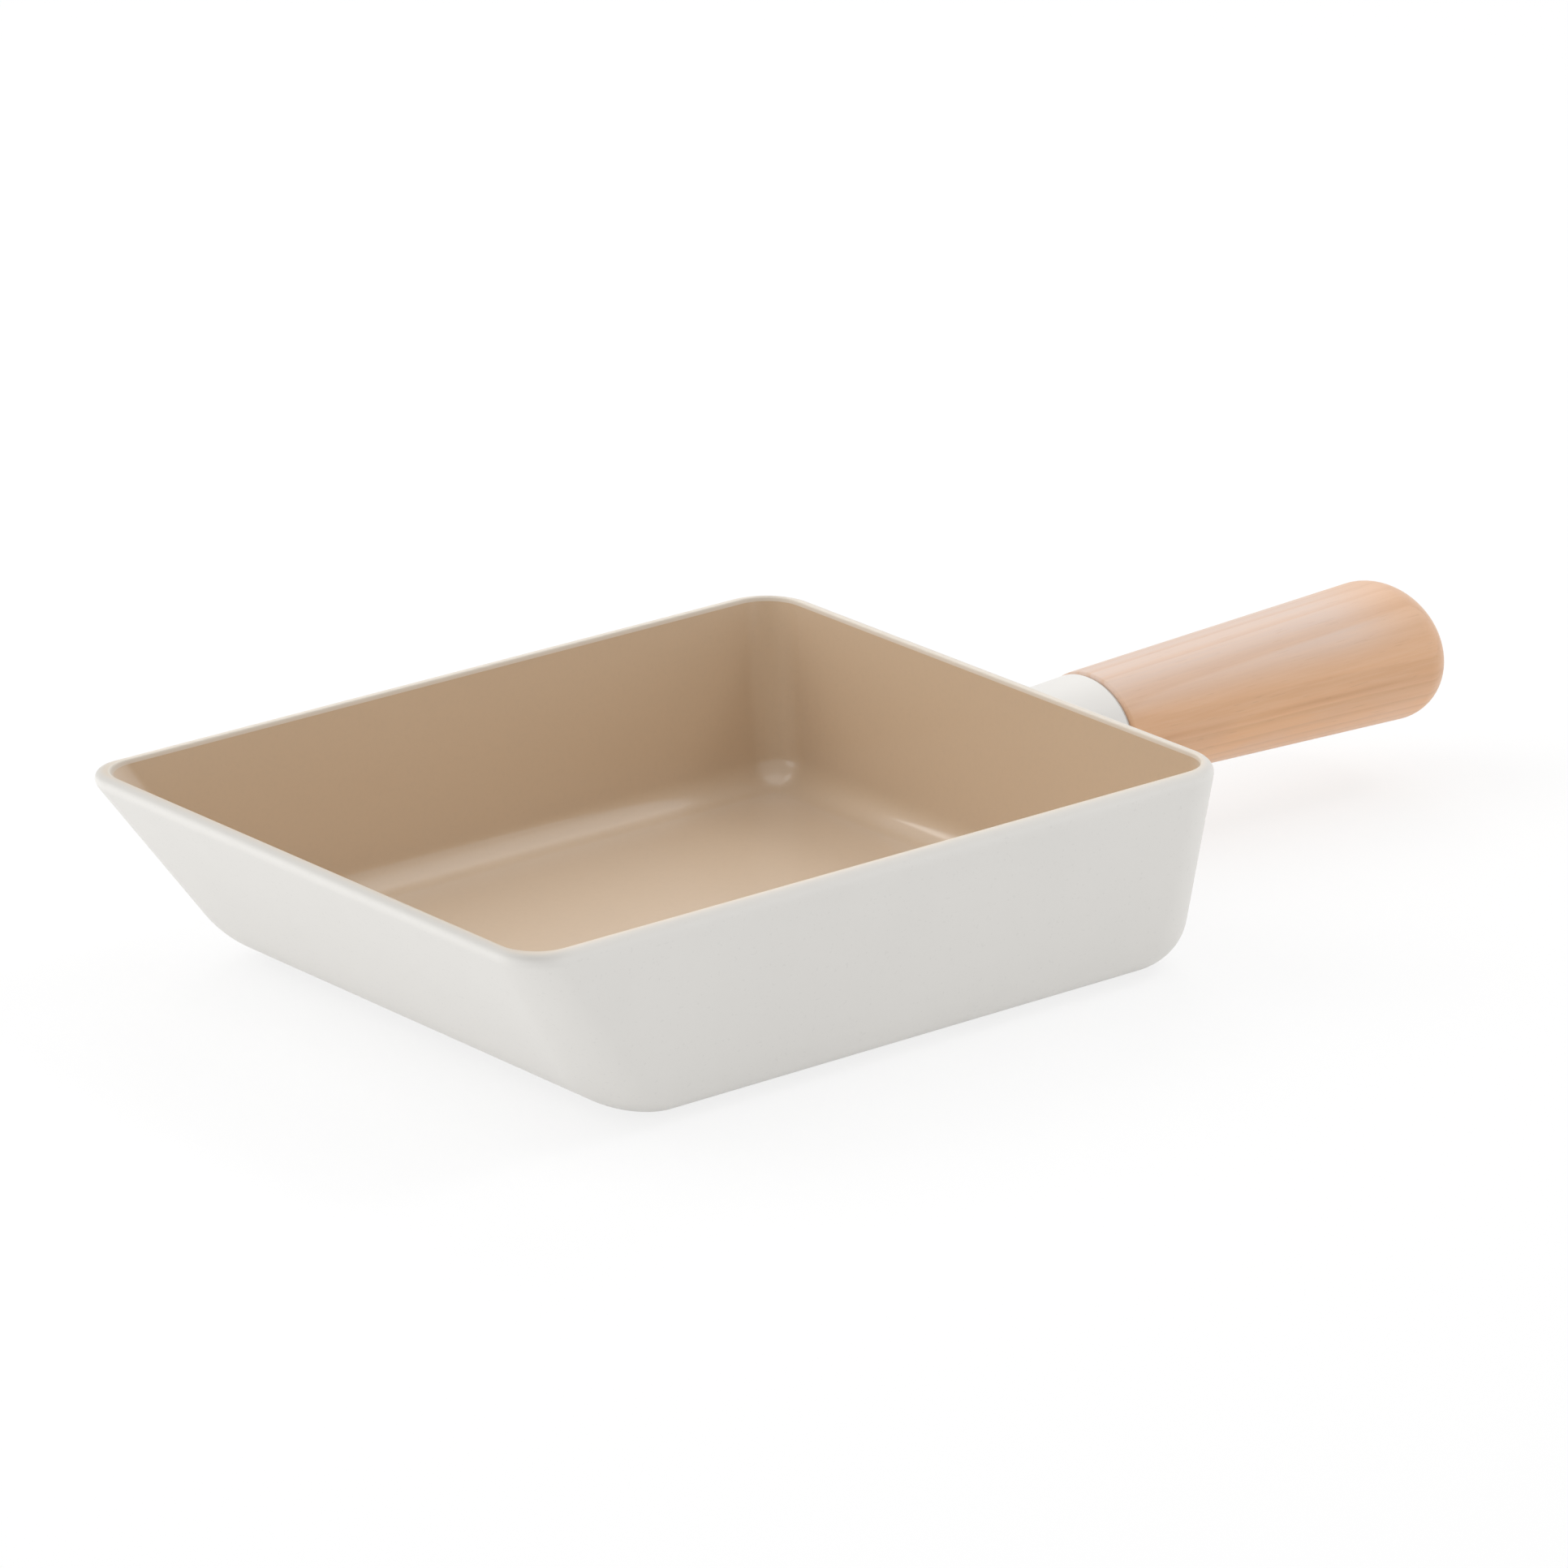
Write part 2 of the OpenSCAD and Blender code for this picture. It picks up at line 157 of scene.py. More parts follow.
class Wall:
    """A leaning wall; its insets are level and count inwards from its outer face's unrounded edge."""

    def __init__(self, lean, foot_r, well_r):
        self.tan, self.sin, self.cos = math.tan(lean), math.sin(lean), math.cos(lean)
        self.foot_r, self.well_r = foot_r, well_r
        room = WALL - LIP_R * (1 - self.sin) - LIP_FLAT * self.cos
        self.rim_r = min(RIM_R, room / (1 + self.sin))
        self.pull = self.rim_r * (self.tan + 1 / self.cos - 1)

    def straight(self, depth, z):
        return self.tan * (RIM_Z - z) + depth / self.cos

    def swept(self, depth, radius, base, z):
        """The straight face at a depth, or its sweep into the level face at height base."""
        middle = base + radius
        if z >= base + radius * (1 - self.sin):
            return self.straight(depth, z)
        reach = math.sqrt(max(radius**2 - (middle - z) ** 2, 0))
        return self.straight(depth, middle) + radius / self.cos - reach

    def outside(self, z):
        rounding = self.rim_r
        if z <= RIM_Z - rounding * (1 + self.sin):
            return self.swept(0, self.foot_r, 0, z)
        reach = math.sqrt(max(rounding**2 - (z - RIM_Z + rounding) ** 2, 0))
        return self.straight(rounding, RIM_Z - rounding) - reach

    def inside(self, z):
        if z <= RIM_Z - LIP_R * (1 - self.sin):
            return self.swept(WALL, self.well_r, CAST_FLOOR + LINING, z)
        reach = math.sqrt(max(LIP_R**2 - (z - RIM_Z + LIP_R) ** 2, 0))
        return self.straight(WALL - LIP_R, RIM_Z - LIP_R) + reach

    def bed(self, z):
        """The cast face that the lining covers."""
        return self.swept(WALL - LINING, self.well_r + LINING, CAST_FLOOR, z)


FRONT = Wall(lean=math.radians(35), foot_r=28.5 * MM, well_r=24 * MM)
HANDLE_SIDE = Wall(lean=math.radians(3), foot_r=11 * MM, well_r=7 * MM)
LONG_SIDE = Wall(lean=math.radians(8.5), foot_r=11 * MM, well_r=7 * MM)
WALLS = (FRONT, HANDLE_SIDE, LONG_SIDE)
FOOT_SWEEPS = [wall.foot_r for wall in WALLS]
WELL_SWEEPS = [wall.well_r for wall in WALLS]


def edges_of(verts):
    """The edges at some vertices, each once and in the same order in every run."""
    return list(dict.fromkeys(edge for vert in verts for edge in vert.link_edges))


def rectangle_loop(bm, low, high, radii, matrix=Matrix.Identity(4)):
    """The edges of a level rectangle whose corners are rounded, with a radius for each end along X."""
    corners = [(low[0], low[1]), (high[0], low[1]), (high[0], high[1]), (low[0], high[1])]
    verts = [bm.verts.new(matrix @ Vector((x, y, 0))) for x, y in corners]
    others = set(bm.faces)
    bm.faces.new(verts)
    for ends, radius in zip(((verts[0], verts[3]), (verts[1], verts[2])), radii):
        bmesh.ops.bevel(bm, geom=list(ends), affect="VERTICES", offset=radius, offset_type="OFFSET",
                        segments=CORNER_STEPS, profile=0.5, material=-1)
    face = (set(bm.faces) - others).pop()
    edges = list(face.edges)
    bmesh.ops.delete(bm, geom=[face], context="FACES_ONLY")
    return edges


def level_circle(bm, x, y, z, radius, steps):
    place = Matrix.Translation((x, y, z))
    return edges_of(bmesh.ops.create_circle(bm, segments=steps, radius=radius, matrix=place)["verts"])


def oval_loop(bm, x, half_w, half_h, shear=0.0, steps=ROUND_STEPS):
    """The edges of an oval square to the handle's axis; shear leans it along that axis as it rises."""
    matrix = Matrix(((0, shear * half_h, 0, x), (half_w, 0, 0, 0), (0, half_h, 0, AXIS_Z), (0, 0, 0, 1)))
    return edges_of(bmesh.ops.create_circle(bm, segments=steps, radius=1, matrix=matrix)["verts"])


def round_loop(bm, x, radius, steps=ROUND_STEPS):
    return oval_loop(bm, x, radius, radius, steps=steps)


def tenon_loop(bm, x, grow=0.0):
    """The edges of the tenon's outline, square to the handle's axis."""
    half_w, half_h = (size / 2 + grow for size in TENON_SIZE)
    radius = TENON_CORNER + grow
    across_axis = Matrix(((0, 0, 1, x), (1, 0, 0, 0), (0, 1, 0, AXIS_Z), (0, 0, 0, 1)))
    return rectangle_loop(bm, (-half_w, -half_h), (half_w, half_h), (radius, radius), across_axis)


APART = 0.25


def loft(bm, loops, axis, closed=False):
    """Joins loops in turn; the loops of a pair stand far apart along the axis while they are joined."""
    following = loops[1:] + loops[:1] if closed else loops[1:]
    for first, second in zip(loops, following):
        home = {vert: vert.co.copy() for edge in second for vert in edge.verts}
        bmesh.ops.translate(bm, verts=list(home), vec=axis * APART)
        bmesh.ops.bridge_loops(bm, edges=first + second)
        for vert, place in home.items():
            vert.co = place


def cap(bm, edges):
    bmesh.ops.contextual_create(bm, geom=edges)


def fill_between(bm, *loops):
    """A flat face with holes, from its outline and the outlines of the holes."""
    bmesh.ops.triangle_fill(bm, edges=[edge for loop in loops for edge in loop], use_beauty=True)


def pan_loop(bm, z, inset_at, depth, corners):
    """A level loop of the pan on the face whose insets inset_at gives, at a depth in the walls."""
    front, back, side = (inset_at(wall, z) for wall in WALLS)
    extra = [inset - wall.straight(depth, z) for inset, wall in zip((front, back, side), WALLS)]
    radii = []
    # Where sweeps and roundings draw the walls in, the corners tighten with them
    for (foot, rim), own in zip(corners, extra):
        base = foot + (rim - foot) * z / RIM_Z
        radii.append(max(base - (own + extra[2]) / 2, base * LEAST_CORNER_SHARE))
    half_w = RIM_Y + LONG_SIDE.pull - side
    low = (-RIM_X - FRONT.pull + front, -half_w)
    high = (RIM_X + HANDLE_SIDE.pull - back, half_w)
    return rectangle_loop(bm, low, high, radii, Matrix.Translation((0, 0, z)))


def outer_loop(bm, z):
    return pan_loop(bm, z, Wall.outside, 0, (FRONT_CORNER, BACK_CORNER))


def inner_loop(bm, z):
    return pan_loop(bm, z, Wall.inside, WALL, (WELL_CORNER, WELL_CORNER))


def bed_loop(bm, z):
    return pan_loop(bm, z, Wall.bed, WALL - LINING, (WELL_CORNER, WELL_CORNER))


def arc(end, steps):
    """Angles from 0 to end in even steps."""
    return [end * i / steps for i in range(steps + 1)]


def eased(steps):
    """Shares from 0 to 1 that lie closest together near 0, as heights on the foot of an arc do."""
    return [1 - math.cos(turn) for turn in arc(QUARTER, steps)]


def sweep_levels(base, sweeps):
    """Heights of the loops that follow the walls' sweeps up from the level face at height base."""
    top = max(radius * (1 - wall.sin) for radius, wall in zip(sweeps, WALLS))
    return [base + top * share for share in eased(FOOT_STEPS)]


def rim_levels():
    depth = max(wall.rim_r * (1 + wall.sin) for wall in WALLS)
    return [RIM_Z - depth * share for share in reversed(eased(RIM_STEPS))]


def lip_levels():
    depth = LIP_R * (1 - min(wall.sin for wall in WALLS))
    return [RIM_Z - depth * share for share in eased(LIP_STEPS)]


def well_levels(floor):
    """Heights of the loops from the lining's top edge down to the level face at height floor."""
    return [LINING_TOP] + sweep_levels(floor, WELL_SWEEPS)[::-1]


def turned_over_rim(z):
    """How far the outer face has turned over the rim at a height, as a share of the wall."""
    if z <= RIM_Z - RIM_R:
        return 0
    return max(LONG_SIDE.outside(z) - LONG_SIDE.pull, 0) / WALL


def mark(rows, layer):
    """Writes each row's value on the vertices of its loop."""
    for loop, value in rows:
        for edge in loop:
            for vert in edge.verts:
                vert[layer] = value


def finished(name, bm, finish, node, sharp=SHARP):
    """Closes a piece: merges its doubles, turns its faces outwards and gives it its finish."""
    bmesh.ops.remove_doubles(bm, verts=bm.verts, dist=SAME_PLACE)
    bmesh.ops.recalc_face_normals(bm, faces=bm.faces)
    for face in bm.faces:
        face.smooth = True
    for edge in bm.edges:
        edge.smooth = edge.is_manifold and edge.calc_face_angle() < sharp
    mesh = bpy.data.meshes.new(name)
    bm.to_mesh(mesh)
    bm.free()
    mesh.materials.append(finish)
    piece = bpy.data.objects.new(name, mesh)
    bpy.context.scene.collection.objects.link(piece)
    weigh_normals(piece)
    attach(piece, "root")
    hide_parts(node)


def weigh_normals(piece):
    """Flat faces keep their own shade up to the roundings beside them."""
    shade = piece.modifiers.new("even_shade", "WEIGHTED_NORMAL")
    shade.mode = "FACE_AREA"
    shade.keep_sharp = True


FACING_COSINE = 0.9


def widest_face(bm, facing):
    candidates = [face for face in bm.faces if face.normal.dot(facing) > FACING_COSINE]
    return max(candidates, key=lambda face: face.calc_area())


def neck(bm):
    """Opens the wall behind the handle and draws the neck out of it, up to its rounded edge."""
    bm.normal_update()
    wall_x = RIM_X + HANDLE_SIDE.pull - HANDLE_SIDE.straight(0, AXIS_Z)
    panel = widest_face(bm, OUT)
    opening = list(panel.edges)
    bmesh.ops.delete(bm, geom=[panel], context="FACES_ONLY")

    def neck_loop(x, grow, upright):
        share = (x - wall_x) / (NECK_END - wall_x)
        half_w, half_h = (half - NECK_WAIST * (1 - share) + grow for half in NECK_HALF)
        return oval_loop(bm, x, half_w, half_h, HANDLE_SIDE.tan * (1 - upright))

    loops = []
    for turn in arc(QUARTER, NECK_STEPS):
        x, grow = wall_x + NECK_BLEND * (1 - math.cos(turn)), NECK_BLEND * (1 - math.sin(turn))
        loops.append(neck_loop(x, grow, turn / QUARTER))
    for turn in arc(QUARTER, LIP_STEPS):
        x = NECK_END - NECK_EDGE * (1 - math.sin(turn))
        loops.append(neck_loop(x, -NECK_EDGE * (1 - math.cos(turn)), 1))
    fill_between(bm, opening, loops[0])
    loft(bm, loops, OUT)
    return loops[-1]


def tenon(bm, neck_edge):
    """Draws the tenon out of the neck's end, with the insert's bore and the bolt's hole in it."""
    socket_r = (INSERT_HIGH.z - INSERT_LOW.z) / 2
    root, tip = tenon_loop(bm, NECK_END), tenon_loop(bm, TENON_END)
    fill_between(bm, neck_edge, root)
    loft(bm, [root, tip], OUT)
    socket = [round_loop(bm, TENON_END, socket_r),
              round_loop(bm, INSERT_LOW.x, socket_r),
              round_loop(bm, INSERT_LOW.x, BOLT_HOLE_R),
              round_loop(bm, BOLT_LOW.x - BOLT_TIP_ROOM, BOLT_HOLE_R)]
    fill_between(bm, tip, socket[0])
    loft(bm, socket, OUT)
    cap(bm, socket[-1])


def plate_pocket(bm, base_edges):
    """Sinks the pocket of the plate into the base and leaves the studs that fill the plate's holes."""
    low, high = PLATE_LOW.xy, PLATE_HIGH.xy
    corners = (PLATE_CORNER, PLATE_CORNER)
    mouth = rectangle_loop(bm, low, high, corners)
    roof = rectangle_loop(bm, low, high, corners, Matrix.Translation((0, 0, PLATE_HIGH.z)))
    fill_between(bm, base_edges, mouth)
    loft(bm, [mouth, roof], UP)
    middle = (low + high) / 2
    offsets = [(i - (STUD_COUNT - 1) / 2) * STUD_PITCH for i in range(STUD_COUNT)]
    feet = [stud(bm, middle.x + along, middle.y + across) for along in offsets for across in offsets]
    fill_between(bm, roof, *feet)


def stud(bm, x, y):
    """A stud from the pocket's roof down to the base; gives the edges of its foot in the roof."""
    foot, end = (level_circle(bm, x, y, z, STUD_R, STUD_STEPS) for z in (PLATE_HIGH.z, 0))
    loft(bm, [foot, end], UP)
    cap(bm, end)
    return foot


def pan_body(finish):
    """Outer walls, rim and the bed of the lining in one skin, with the neck and the tenon."""
    bm = bmesh.new()
    across_rim = bm.verts.layers.float.new("across_rim")
    rows = [(outer_loop(bm, z), 0) for z in sweep_levels(0, FOOT_SWEEPS)]
    rows += [(outer_loop(bm, z), turned_over_rim(z)) for z in rim_levels()]
    rows += [(inner_loop(bm, z), 1) for z in lip_levels() + [LINING_TOP]]
    rows += [(bed_loop(bm, z), 1) for z in well_levels(CAST_FLOOR)]
    mark(rows, across_rim)
    loops = [loop for loop, value in rows]
    loft(bm, loops, UP)
    cap(bm, loops[-1])
    plate_pocket(bm, loops[0])
    tenon(bm, neck(bm))
    finished("pan_body_shell", bm, finish, "pan_body")


def lining(finish):
    """The baked-on lining: its face, its top edge at the rim and its back against the casting."""
    bm = bmesh.new()
    face = [inner_loop(bm, z) for z in well_levels(CAST_FLOOR + LINING)]
    back = [bed_loop(bm, z) for z in well_levels(CAST_FLOOR)]
    loft(bm, face[::-1] + back, UP)
    cap(bm, face[-1])
    cap(bm, back[-1])
    finished("well_lining", bm, finish, "interior_coating")


def grip_half(x):
    """Half the wood's width and half its height at a place along the handle."""
    share = (x - SEAM_X) / GRIP_LEN
    return [near + (far - near) * share for near, far in zip(GRIP_HALF, GRIP_END_HALF)]


def dome_loop(bm, radius, drop):
    """A round loop that lies on the wood's dome, or below it by drop."""
    edges = round_loop(bm, 0, radius)
    half_w, half_h = grip_half(DOME_X + DOME)
    for vert in {vert for edge in edges for vert in edge.verts}:
        reach = (vert.co.y / half_w) ** 2 + ((vert.co.z - AXIS_Z) / half_h) ** 2
        vert.co.x = DOME_X + DOME * math.sqrt(1 - reach) - drop
    return edges


def wood_grip(finish):
    """Tapered oval wood with a domed end, a mortise at the seam and the bolt's well at the far end."""
    bm = bmesh.new()
    loops = []
    for turn in arc(QUARTER, LIP_STEPS):
        x = SEAM_X + GRIP_EDGE * (1 - math.cos(turn))
        half_w, half_h = (half - GRIP_EDGE * (1 - math.sin(turn)) for half in grip_half(x))
        loops.append(oval_loop(bm, x, half_w, half_h))
    well_r = (WASHER_HIGH.z - WASHER_LOW.z) / 2 + WELL_ROOM
    mouth_r = well_r + MOUTH_SOFT
    mouth_turn = math.acos((mouth_r + MOUTH_SOFT) / GRIP_END_HALF[1])
    for turn in arc(mouth_turn, FOOT_STEPS):
        x = DOME_X + DOME * math.sin(turn)
        half_w, half_h = (half * math.cos(turn) for half in grip_half(x))
        loops.append(oval_loop(bm, x, half_w, half_h))
    for turn in arc(QUARTER, LIP_STEPS):
        radius, drop = mouth_r - MOUTH_SOFT * math.sin(turn), MOUTH_SOFT * (1 - math.cos(turn))
        loops.append(dome_loop(bm, radius, drop))
    mortise_end = TENON_END + TENON_GAP
    loops += [round_loop(bm, SEAT_X, well_r),
              round_loop(bm, SEAT_X, BOLT_HOLE_R),
              round_loop(bm, mortise_end, BOLT_HOLE_R),
              tenon_loop(bm, mortise_end, TENON_FIT),
              tenon_loop(bm, SEAM_X, TENON_FIT)]
    loft(bm, loops, OUT, closed=True)
    finished("wood_grip", bm, finish, "wood_handle")


def seam_ring(finish):
    """The silicone ring between neck and wood; squeezed, its rounded rim bulges a little."""
    bm = bmesh.new()
    half_w, half_h = RING_HIGH.y + RING_BULGE, (RING_HIGH.z - RING_LOW.z) / 2 + RING_BULGE
    thick = RING_HIGH.x - RING_LOW.x
    loops = []
    for turn in arc(math.pi, LIP_STEPS):
        x, drop = RING_LOW.x + thick * (1 - math.cos(turn)) / 2, thick / 2 * (1 - math.sin(turn))
        loops.append(oval_loop(bm, x, half_w - drop, half_h - drop))
    loops += [tenon_loop(bm, RING_HIGH.x, TENON_FIT), tenon_loop(bm, RING_LOW.x, TENON_FIT)]
    loft(bm, loops, OUT, closed=True)
    finished("seam_ring", bm, finish, "joint_ring")


def key_loop(bm, x, half):
    """The edges of the socket's hexagon, cut as finely as the head's circles."""
    edges = round_loop(bm, x, half / math.cos(math.pi / KEY_SIDES), KEY_SIDES)
    split = bmesh.ops.subdivide_edges(bm, edges=edges, cuts=BOLT_STEPS // KEY_SIDES - 1)
    return [part for part in split["geom_split"] if isinstance(part, bmesh.types.BMEdge)]


def rolled_thread(bm, core_r):
    """Winds the ridge's section round the bolt's core."""
    root, crest = THREAD_PITCH * THREAD_ROOT_SHARE, THREAD_PITCH * THREAD_CREST_SHARE
    root_r = core_r - THREAD_RIDGE / 4
    section = ((-root, root_r), (-crest, BOLT_R), (crest, BOLT_R), (root, root_r))
    start_x = BOLT_LOW.x + BOLT_POINT
    start = bm.faces.new([bm.verts.new((start_x + x, 0, AXIS_Z + radius)) for x, radius in section])
    bmesh.ops.spin(bm, geom=[start], cent=(0, 0, AXIS_Z), axis=OUT,
                   dvec=OUT * (THREAD_PITCH / THREAD_STEPS),
                   angle=2 * math.pi * THREAD_TURNS, steps=THREAD_STEPS * THREAD_TURNS)


def cap_bolt(finish):
    """Cap bolt: a softened head with a hexagon socket, a plain shank and a rolled thread."""
    bm = bmesh.new()
    head_r = (BOLT_HIGH.z - BOLT_LOW.z) / 2
    top = BOLT_HIGH.x
    core_r = BOLT_R - THREAD_RIDGE
    thread_end = BOLT_LOW.x + THREAD_PITCH * (THREAD_TURNS + 1)
    profile = [(BOLT_LOW.x, core_r - BOLT_POINT), (BOLT_LOW.x + BOLT_POINT, core_r), (thread_end, core_r),
               (thread_end + THREAD_RIDGE, BOLT_R), (HEAD_X, BOLT_R), (HEAD_X, head_r - HEAD_SOFT / 2),
               (HEAD_X + HEAD_SOFT / 2, head_r), (top - HEAD_SOFT, head_r),
               (top - HEAD_SOFT / 3, head_r - HEAD_SOFT / 3), (top, head_r - HEAD_SOFT)]
    loops = [round_loop(bm, x, radius, BOLT_STEPS) for x, radius in profile]
    keys = [key_loop(bm, top, KEY_HALF + HEAD_SOFT / 2),
            key_loop(bm, top - HEAD_SOFT / 2, KEY_HALF),
            key_loop(bm, top - KEY_DEEP, KEY_HALF)]
    cap(bm, loops[0])
    loft(bm, loops, OUT)
    fill_between(bm, loops[-1], keys[0])
    loft(bm, keys, OUT)
    cap(bm, keys[-1])
    rolled_thread(bm, core_r)
    finished("cap_bolt", bm, finish, "handle_bolt", SHARP_ON_BOLT)


def add_node(tree, kind, settings=None, inputs=None):
    """Adds a shader node: its settings come first, then a value or a link for each input named."""
    node = tree.nodes.new("ShaderNode" + kind)
    for name, setting in (settings or {}).items():
        setattr(node, name, setting)
    for place, item in (inputs or {}).items():
        socket = node.inputs[place]
        if isinstance(item, Value):
            tree.links.new(item.socket, socket)
        elif socket.type == "RGBA":
            socket.default_value = (*item, 1)
        else:
            socket.default_value = item
    return node


class Value:
    """A shader socket that takes plain arithmetic; each sum adds its Math node."""

    def __init__(self, tree, socket):
        self.tree, self.socket = tree, socket

    def math(self, operation, *others):
        inputs = dict(enumerate((self, *others)))
        return Value(self.tree, add_node(self.tree, "Math", {"operation": operation}, inputs).outputs[0])

    def __add__(self, other):
        return self.math("ADD", other)

    def __sub__(self, other):
        return self.math("SUBTRACT", other)

    def __rsub__(self, other):
        return (self * -1).math("ADD", other)

    def __mul__(self, other):
        return self.math("MULTIPLY", other)

    def __truediv__(self, other):
        return self.math("DIVIDE", other)

    __radd__, __rmul__ = __add__, __mul__

    def between(self, low, high):
        """0 below low, 1 above high, and a smooth climb between them."""
        climb = add_node(self.tree, "MapRange", {"interpolation_type": "SMOOTHSTEP"},
                         {"Value": self, "From Min": low, "From Max": high})
        return Value(self.tree, climb.outputs[0])


class Shader:
    """The nodes of a material or of the world, under construction."""

    def __init__(self, owner):
        owner.use_nodes = True
        self.owner, self.tree = owner, owner.node_tree
        self.tree.nodes.clear()

    def node(self, kind, settings=None, output=0, **inputs):
        """One output of a new node, whose inputs are named with _ for each space."""
        inputs = {name.replace("_", " "): item for name, item in inputs.items()}
        return Value(self.tree, add_node(self.tree, kind, settings, inputs).outputs[output])

    def place(self, shift=(0, 0, 0), stretch=(1, 1, 1), turn=(0, 0, 0)):
        """The piece's own coordinates in metres, moved, stretched and turned."""
        own = self.node("TexCoord", output="Object")
        return self.node("Mapping", {"vector_type": "POINT"}, Vector=own, Location=shift,
                         Rotation=turn, Scale=stretch)

    def axes(self, vector):
        split = add_node(self.tree, "SeparateXYZ", inputs={"Vector": vector})
        return [Value(self.tree, socket) for socket in split.outputs]

    def noise(self, vector, per_metre, detail=2.0, roughness=0.5):
        return self.node("TexNoise", Vector=vector, Scale=per_metre, Detail=detail, Roughness=roughness)

    def blend(self, share, first, second, kind="MIX"):
        """A colour between two others; Mix has its colours at inputs 6 and 7 and at output 2."""
        mix = add_node(self.tree, "Mix", {"data_type": "RGBA", "blend_type": kind},
                       {0: share, 6: first, 7: second})
        return Value(self.tree, mix.outputs[2])

    def coats(self, base, *coats):
        """Lays coats over a base colour; each says where it lies, how strongly, and its colour."""
        for where, strength, color in coats:
            base = self.blend(where * strength, base, color)
        return base

    def layers(self, share, first, second):
        mix = add_node(self.tree, "MixShader", inputs={0: share, 1: first, 2: second})
        return Value(self.tree, mix.outputs[0])

    def bump(self, height, distance, strength):
        return self.node("Bump", Height=height, Distance=distance, Strength=strength)

    def seen_rays(self):
        """1 for rays that come from the eye, straight or through gloss and glass."""
        path = add_node(self.tree, "LightPath")
        camera, glossy, through = (Value(self.tree, path.outputs[name])
                                   for name in ("Is Camera Ray", "Is Glossy Ray", "Is Transmission Ray"))
        return camera.math("MAXIMUM", glossy).math("MAXIMUM", through)

    def out(self, shader, kind="OutputMaterial"):
        add_node(self.tree, kind, inputs={0: shader})

    def gloss(self, **values):
        """Closes a material with one surface shader, and gives the material."""
        self.out(self.node("BsdfPrincipled", **values))
        return self.owner


def new_material(name):
    return Shader(bpy.data.materials.new(name))


def dimmed(color, share):
    return tuple(part * share for part in color)


# Colours are linear reflectances
WHITE = (0.797, 0.78, 0.748)
FLECK = (0.55, 0.54, 0.52)
# The crest's darker white is painted shade on the rim's outer rounding
PAINTED_CREST_SHADE = (0.71, 0.685, 0.645)
# Multiplied over the crest at the front of the rim as painted shade
PAINTED_FRONT_RIM_SHADE = (0.83, 0.83, 0.83)
# The neck's darker white is painted shade
PAINTED_NECK_SHADE = (0.755, 0.735, 0.706)
WARM_RIM = (0.70, 0.62, 0.525)
PALE_LIP = (0.73, 0.67, 0.59)
BEIGE = (0.556, 0.405, 0.259)
MOTTLE = (0.42, 0.32, 0.22)

# How bright the clouds in a coat are beside it
CLOUD_SHADE = 0.985

# Distances from the front of the rim over which the painted shade on its front crest fades out
FRONT_RIM_SHADE_FADE = (2 * MM, 14 * MM)


def white_coat():
    """Satin sprayed coat with fine orange peel and faint clouds, warmer where the rim turns inwards;
    painted shade darkens the rim's crest, most at the front, and the neck.
    """
    make = new_material("white_coat")
    own = make.place()
    cloud = make.noise(own, per_metre=28, detail=3)
    peel = make.noise(own, per_metre=750, roughness=0.55)
    grit = make.noise(own, per_metre=3200, detail=1)
    fleck = make.noise(own, per_metre=1500, detail=0).between(0.72, 0.8)
    rim = make.node("Attribute", {"attribute_name": "across_rim"}, output="Fac")
    along, _, height = make.axes(own)
    # 1 at the front of the rim and fading out behind it; it places the painted shade on the front crest
    front = 1 - along.between(FRONT_RIM_SHADE_FADE[0] - RIM_X, FRONT_RIM_SHADE_FADE[1] - RIM_X)
    spray = (1 - height.between(LINING_TOP, RIM_Z - LIP_R)) * rim.between(0.9, 1)
    coat = make.blend(cloud.between(0.3, 0.7), dimmed(WHITE, CLOUD_SHADE), WHITE)
    # Over the rim's outer rounding, the crest's darker white is painted shade
    coat = make.coats(coat,
                      (fleck, 0.12, FLECK),
                      (rim.between(0, 0.4), 1, PAINTED_CREST_SHADE),
                      (rim.between(0.3, 0.9), 1, WARM_RIM),
                      (rim.between(0.9, 1), 1, PALE_LIP))
    # Painted shade darkens the crest further at the front of the rim
    coat = make.blend(front * rim.between(0, 0.3), coat, PAINTED_FRONT_RIM_SHADE, "MULTIPLY")
    # The neck's darker white is painted shade
    coat = make.coats(coat,
                      (along.between(RIM_X, RIM_X + NECK_BLEND), 1, PAINTED_NECK_SHADE),
                      (spray, 0.2, BEIGE))
    relief = make.bump(peel * 0.75 + grit * 0.25, distance=0.05 * MM, strength=0.5)
    return make.gloss(Base_Color=coat, Roughness=0.5 + (cloud - 0.5) * 0.08, IOR=1.36, Normal=relief)


def beige_lining():
    """Semi-gloss baked lining with a fine mottle."""
    make = new_material("beige_lining")
    own = make.place()
    cloud = make.noise(own, per_metre=22, detail=3)
    mottle = make.noise(own, per_metre=900, detail=3, roughness=0.6)
    peel = make.noise(own, per_metre=1500, detail=1)
    coat = make.blend(cloud.between(0.3, 0.7), dimmed(BEIGE, CLOUD_SHADE), BEIGE)
    coat = make.coats(coat, (mottle.between(0.45, 0.75), 0.1, MOTTLE))
    relief = make.bump(peel * 0.6 + mottle * 0.4, distance=0.006 * MM, strength=0.3)
    return make.gloss(Base_Color=coat, Roughness=0.52 + (mottle - 0.5) * 0.06, IOR=1.7, Coat_Weight=0.9,
                      Coat_Roughness=0.13, Sheen_Weight=0.5, Sheen_Roughness=0.5, Normal=relief)


